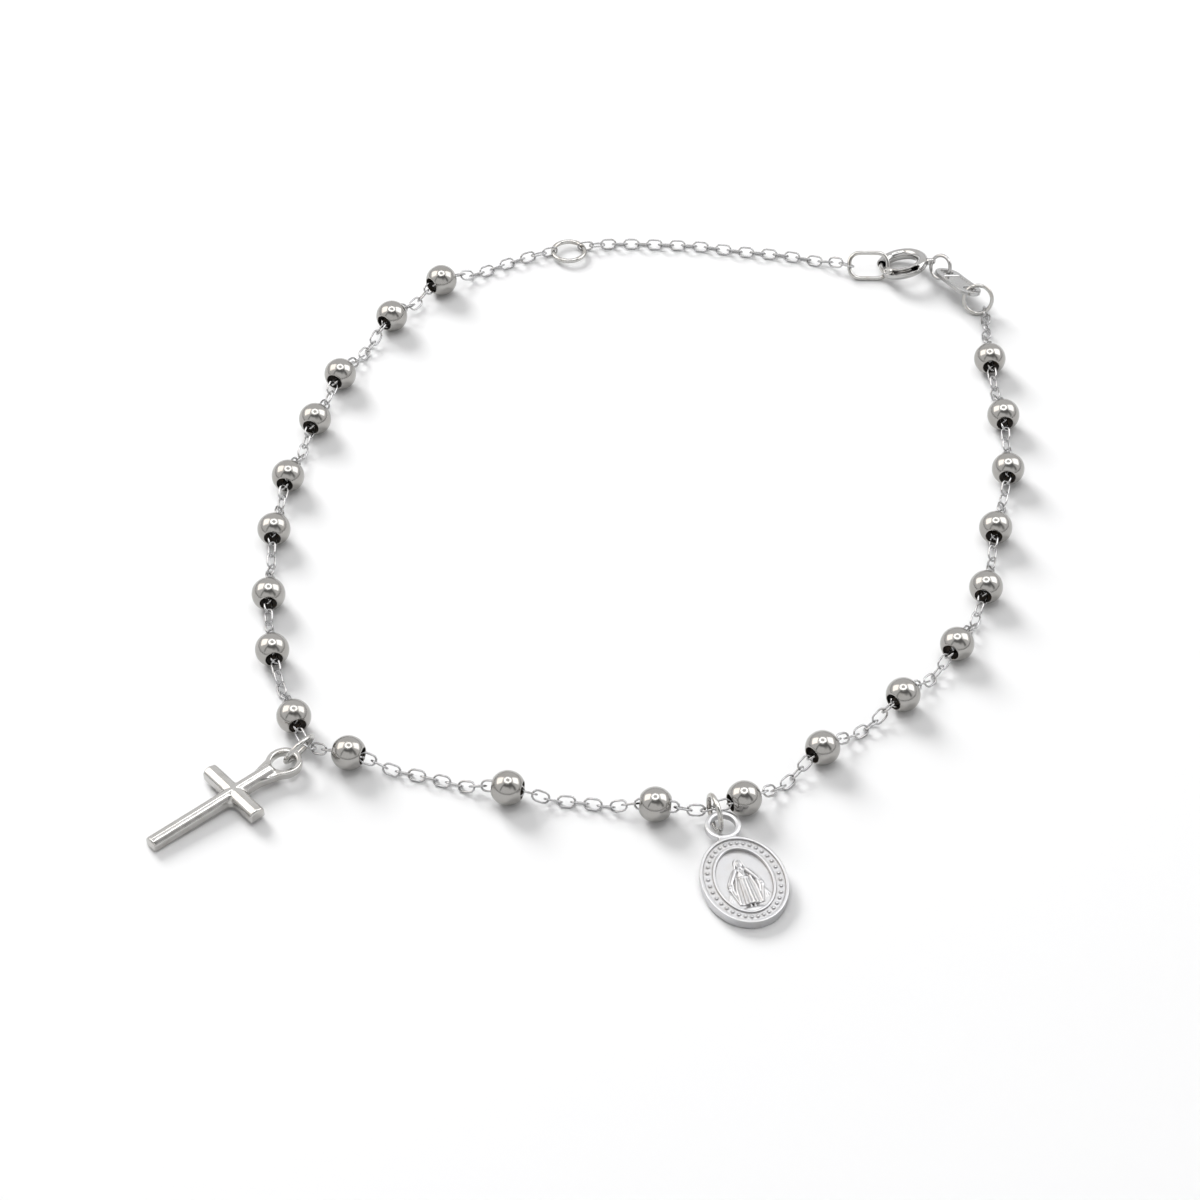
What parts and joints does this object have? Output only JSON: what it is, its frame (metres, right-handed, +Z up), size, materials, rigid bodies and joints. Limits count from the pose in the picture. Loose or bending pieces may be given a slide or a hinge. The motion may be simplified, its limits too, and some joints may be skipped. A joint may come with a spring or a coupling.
{
  "type": "rosary bracelet",
  "caption": "Silver rosary bracelet of round hollow beads strung on a fine cable chain, with a cross, an oval medal, a spring-ring clasp and an extension chain.",
  "frame": {"origin": "on the surface that the bracelet lies on, under the middle of its bounding box", "axes": "+Z up from the surface; +Y towards the extension chain and clasp; +X towards the side that the clasp's tag is on"},
  "size_m": [0.0767, 0.0909, 0.0035],
  "materials": {
    "bead_silver": "polished",
    "chain_silver": "polished",
    "polished_silver": "polished",
    "medal_silver": "satin"
  },
  "bodies": {
    "bracelet": {"bead_01": "bead_silver", "bead_02": "bead_silver", "bead_03": "bead_silver", "bead_04": "bead_silver", "bead_05": "bead_silver", "bead_06": "bead_silver", "bead_07": "bead_silver", "bead_08": "bead_silver", "bead_09": "bead_silver", "bead_10": "bead_silver", "bead_11": "bead_silver", "bead_12": "bead_silver", "bead_13": "bead_silver", "bead_14": "bead_silver", "bead_15": "bead_silver", "bead_16": "bead_silver", "bead_17": "bead_silver", "bead_18": "bead_silver", "bead_19": "bead_silver", "bead_20": "bead_silver", "bead_21": "bead_silver", "chain_right": "chain_silver", "chain_left": "chain_silver", "extension_chain": "chain_silver", "adjusting_ring": "polished_silver", "end_ring": "polished_silver", "clasp_ring": "polished_silver", "tag_plate": "polished_silver", "tag_ring": "polished_silver", "cross": "polished_silver", "cross_ring": "polished_silver", "medal": "medal_silver", "medal_ring": "polished_silver"},
    "clasp_bolt": {"clasp_bolt": "polished_silver"}
  },
  "joints": [
    {"name": "bolt_slide", "type": "hinge", "parent": "bracelet", "child": "clasp_bolt", "pos_m": [0.0289, 0.0408, 0.0012], "axis": [-0.1879, 0.1736, 0.9667], "range_deg": [0, 60], "stiffness_Nm_per_rad": 0.00002}
  ]
}
